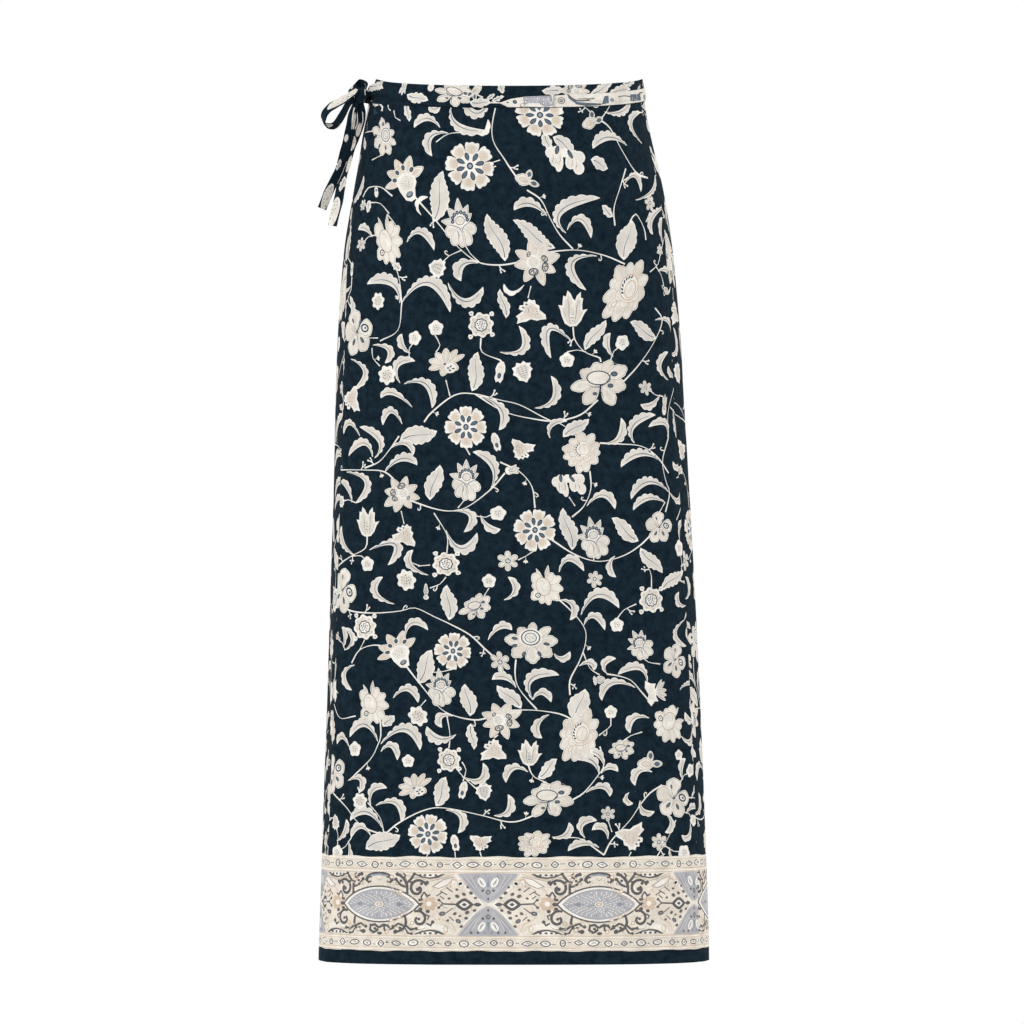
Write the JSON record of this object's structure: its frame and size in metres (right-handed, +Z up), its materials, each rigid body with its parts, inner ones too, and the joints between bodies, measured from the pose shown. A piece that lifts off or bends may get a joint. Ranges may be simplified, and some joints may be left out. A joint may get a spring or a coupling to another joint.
{
  "type": "wrap skirt",
  "caption": "Ankle-length wrap skirt in dark floral cloth with a patterned border, a waistband and a narrow tie belt in a side bow; worn form, hollow.",
  "frame": {"origin": "middle of the waist opening at the height of the waist line at the sides, where the wearer holds the skirt up", "axes": "+Z up, the front faces -Y, +X is to the right of someone looking at the front"},
  "size_m": [0.3896, 0.2332, 0.8795],
  "materials": {
    "printed_cloth": "printed plain weave, cream and slate floral on navy, matt",
    "waistband_cloth": "same printed cloth, folded double and pressed",
    "tie_cloth": "same printed cloth, sewn to a narrow tube and pressed flat"
  },
  "bodies": {
    "root": {"front_overlap": "printed_cloth", "back_panel": "printed_cloth", "under_front": "printed_cloth", "waistband_front": "waistband_cloth", "waistband_back": "waistband_cloth", "waistband_under": "waistband_cloth", "tie_front": "tie_cloth", "tie_back": "tie_cloth", "tie_knot": "tie_cloth", "bow_loop_left": "tie_cloth", "bow_loop_small": "tie_cloth", "tie_end_long": "tie_cloth", "tie_end_short": "tie_cloth"}
  },
  "joints": []
}
